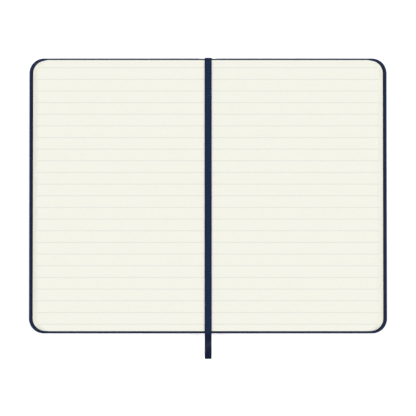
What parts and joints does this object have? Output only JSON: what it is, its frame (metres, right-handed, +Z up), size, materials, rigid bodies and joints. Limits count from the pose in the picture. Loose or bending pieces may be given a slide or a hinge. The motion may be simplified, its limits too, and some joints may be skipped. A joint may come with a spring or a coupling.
{
  "type": "pocket logbook",
  "caption": "Open case-bound pocket logbook with ruled pages, two hinged rounded-corner covers, sewn sections that fold shut, a turning leaf and a ribbon marker.",
  "frame": {"origin": "centre of the open book's base, on the surface it lies on, midway between head and tail and under the gutter", "axes": "+X towards the right-hand page's fore-edge, +Y towards the head of the pages, +Z up"},
  "size_m": [0.182, 0.153, 0.0073],
  "materials": {
    "navy_leatherette": "fine-grained leatherette, satin",
    "grey_board": "grey bookbinding board",
    "endpaper": "cream endpaper, matt",
    "ruled_paper": "ivory writing paper with faint 6 mm ruling, matt",
    "spine_card": "manila card",
    "spine_mull": "open-weave mull",
    "sewing_thread": "linen thread",
    "ribbon_weave": "woven navy ribbon with dark selvedges"
  },
  "bodies": {
    "right_block": {"section_07": "ruled_paper", "back_spine_covering": "navy_leatherette", "back_spine_card": "spine_card", "back_spine_lining": "spine_mull", "back_sewing_thread": "sewing_thread"},
    "left_block": {"section_06": "ruled_paper", "left_top_leaf": "ruled_paper", "front_spine_covering": "navy_leatherette", "front_spine_card": "spine_card", "front_spine_lining": "spine_mull", "front_sewing_thread": "sewing_thread"},
    "turning_leaf": {"right_top_leaf": "ruled_paper"},
    "front_cover": {"front_covering": "navy_leatherette", "front_board": "grey_board", "front_pastedown": "endpaper"},
    "back_cover": {"back_covering": "navy_leatherette", "back_board": "grey_board", "back_pastedown": "endpaper"},
    "left_section_05": {"section_05": "ruled_paper"},
    "left_section_04": {"section_04": "ruled_paper"},
    "left_section_03": {"section_03": "ruled_paper"},
    "left_section_02": {"section_02": "ruled_paper"},
    "left_section_01": {"section_01": "ruled_paper", "front_flyleaf": "endpaper"},
    "right_section_08": {"section_08": "ruled_paper"},
    "right_section_09": {"section_09": "ruled_paper"},
    "right_section_10": {"section_10": "ruled_paper"},
    "right_section_11": {"section_11": "ruled_paper"},
    "right_section_12": {"section_12": "ruled_paper", "back_flyleaf": "endpaper"},
    "ribbon_end": {"ribbon_anchor": "ribbon_weave"},
    "ribbon": {"ribbon_marker": "ribbon_weave"}
  },
  "joints": [
    {"name": "gutter_fold", "type": "hinge", "parent": "right_block", "child": "left_block", "pos_m": [0, 0, 0.00715], "axis": [0, 1, 0], "range_deg": [0, 179.9]},
    {"name": "front_cover_hinge", "type": "hinge", "parent": "left_block", "child": "front_cover", "pos_m": [-0.0006, 0, 0], "axis": [0, 1, 0], "range_deg": [-90, 0]},
    {"name": "back_cover_hinge", "type": "hinge", "parent": "right_block", "child": "back_cover", "pos_m": [0.0006, 0, 0], "axis": [0, -1, 0], "range_deg": [-90, 0]},
    {"name": "leaf_turn", "type": "hinge", "parent": "right_block", "child": "turning_leaf", "pos_m": [0.002, 0, 0.0074], "axis": [0, 1, 0], "range_deg": [-179.9, 0]},
    {"name": "left_shear_05", "type": "slide", "parent": "left_block", "child": "left_section_05", "axis": [1, 0, 0], "range_m": [-0.00005, 0.00039]},
    {"name": "left_shear_04", "type": "slide", "parent": "left_block", "child": "left_section_04", "axis": [1, 0, 0], "range_m": [-0.00005, 0.00073]},
    {"name": "left_shear_03", "type": "slide", "parent": "left_block", "child": "left_section_03", "axis": [1, 0, 0], "range_m": [-0.00005, 0.00107]},
    {"name": "left_shear_02", "type": "slide", "parent": "left_block", "child": "left_section_02", "axis": [1, 0, 0], "range_m": [-0.00005, 0.00141]},
    {"name": "left_shear_01", "type": "slide", "parent": "left_block", "child": "left_section_01", "axis": [1, 0, 0], "range_m": [-0.00005, 0.00175]},
    {"name": "right_shear_08", "type": "slide", "parent": "right_block", "child": "right_section_08", "axis": [-1, 0, 0], "range_m": [-0.00005, 0.00039]},
    {"name": "right_shear_09", "type": "slide", "parent": "right_block", "child": "right_section_09", "axis": [-1, 0, 0], "range_m": [-0.00005, 0.00073]},
    {"name": "right_shear_10", "type": "slide", "parent": "right_block", "child": "right_section_10", "axis": [-1, 0, 0], "range_m": [-0.00005, 0.00107]},
    {"name": "right_shear_11", "type": "slide", "parent": "right_block", "child": "right_section_11", "axis": [-1, 0, 0], "range_m": [-0.00005, 0.00141]},
    {"name": "right_shear_12", "type": "slide", "parent": "right_block", "child": "right_section_12", "axis": [-1, 0, 0], "range_m": [-0.00005, 0.00175]},
    {"name": "ribbon_shift", "type": "slide", "parent": "right_block", "child": "ribbon_end", "axis": [1, 0, 0], "range_m": [-0.00005, 0.00305], "deforming": ["ribbon_anchor"]},
    {"name": "ribbon_lift", "type": "hinge", "parent": "ribbon_end", "child": "ribbon", "pos_m": [0.00015, 0.06895, 0.00715], "axis": [1, 0, 0], "range_deg": [-150, 0], "deforming": ["ribbon_marker"]}
  ],
  "couplings": [
    {"joint": "left_shear_05", "follows": "gutter_fold", "m_per_rad": 0.00010829},
    {"joint": "left_shear_04", "follows": "gutter_fold", "m_per_rad": 0.00021657},
    {"joint": "left_shear_03", "follows": "gutter_fold", "m_per_rad": 0.00032486},
    {"joint": "left_shear_02", "follows": "gutter_fold", "m_per_rad": 0.00043314},
    {"joint": "left_shear_01", "follows": "gutter_fold", "m_per_rad": 0.00054143},
    {"joint": "right_shear_08", "follows": "gutter_fold", "m_per_rad": 0.00010829},
    {"joint": "right_shear_09", "follows": "gutter_fold", "m_per_rad": 0.00021657},
    {"joint": "right_shear_10", "follows": "gutter_fold", "m_per_rad": 0.00032486},
    {"joint": "right_shear_11", "follows": "gutter_fold", "m_per_rad": 0.00043314},
    {"joint": "right_shear_12", "follows": "gutter_fold", "m_per_rad": 0.00054143},
    {"joint": "ribbon_shift", "follows": "gutter_fold", "m_per_rad": 0.00095546}
  ]
}
